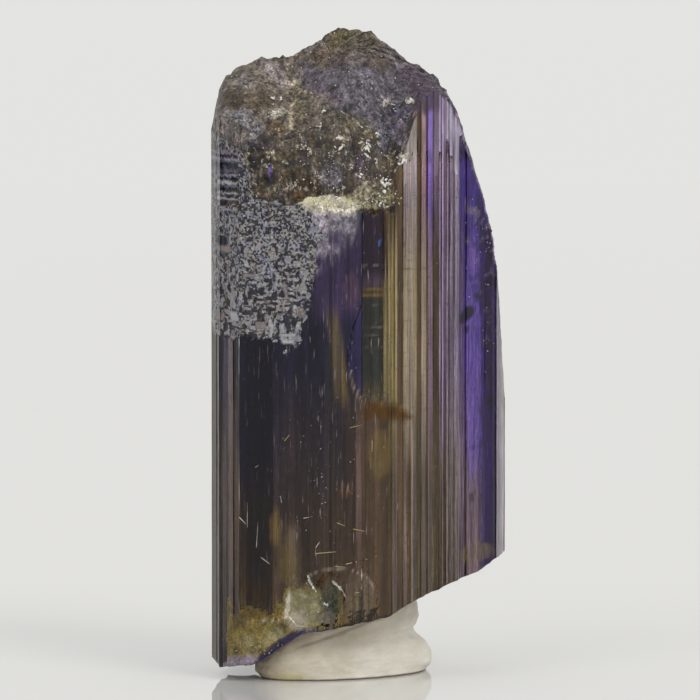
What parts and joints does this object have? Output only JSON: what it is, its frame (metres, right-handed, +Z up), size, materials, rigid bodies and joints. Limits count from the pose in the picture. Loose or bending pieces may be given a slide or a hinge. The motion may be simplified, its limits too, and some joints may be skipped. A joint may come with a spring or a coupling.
{
  "type": "rough tanzanite crystal on putty",
  "caption": "Rough striated tanzanite crystal with a broken top and foot, standing upright in a pinch of display putty on a small flat spot.",
  "frame": {"origin": "on the surface that the putty stands on, under the middle of the object's box", "axes": "+Z up along the crystal's length and ribs, -Y out of its broad front face, +X to the right of that face"},
  "size_m": [0.014, 0.0088, 0.0309],
  "materials": {
    "tanzanite": "translucent, ribbed lengthwise, glossy on the faces and frosted where it is etched or broken",
    "putty": "soft matt off-white putty with finger-pressed creases"
  },
  "bodies": {
    "root": {"tanzanite_crystal": "tanzanite", "putty_stand": "putty"}
  },
  "joints": []
}
